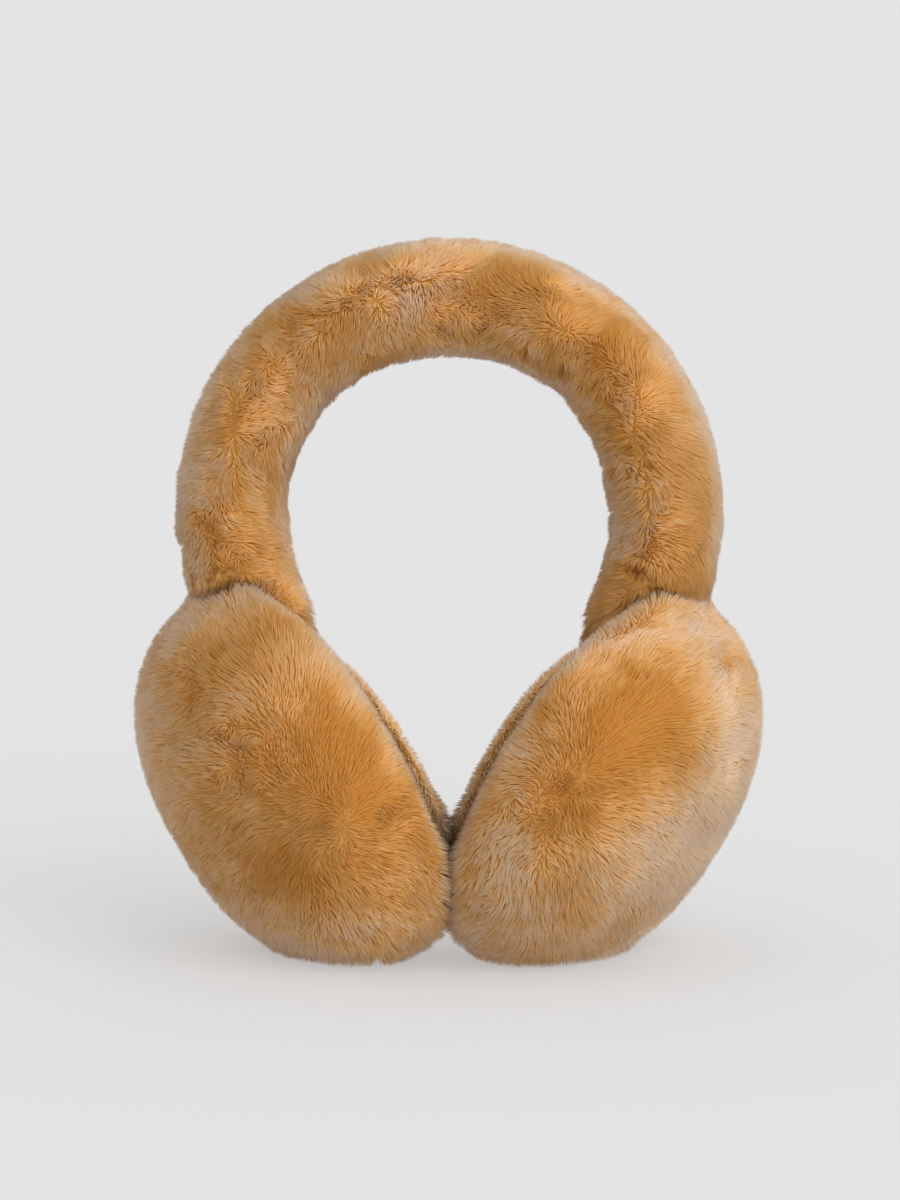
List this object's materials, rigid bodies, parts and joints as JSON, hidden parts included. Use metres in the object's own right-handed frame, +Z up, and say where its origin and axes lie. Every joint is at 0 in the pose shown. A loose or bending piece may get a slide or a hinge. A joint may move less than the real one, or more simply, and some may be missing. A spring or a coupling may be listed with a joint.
{
  "type": "fur earmuffs",
  "caption": "Plush fur earmuffs with a thick bowed headband sleeve and puffy oval ear cups lined with thin ear pads, standing on their cups.",
  "frame": {"origin": "under the middle of the whole, on the surface that the cups rest on", "axes": "+Z up along the bow's height, +X to the right and -Y towards the front, the side that the cups' outer faces turn to"},
  "size_m": [0.1948, 0.098, 0.2198],
  "materials": {
    "band_fur": "dense sheared sheepskin pile, honey tan with paler tips",
    "cup_fur": "dense longer sheepskin pile, honey tan with paler tips",
    "pad_fur": "short-napped sheepskin, tan"
  },
  "bodies": {
    "root": {"headband_sleeve": "band_fur", "ear_cup_left": "cup_fur", "ear_cup_right": "cup_fur", "ear_pad_left": "pad_fur", "ear_pad_right": "pad_fur"}
  },
  "joints": []
}
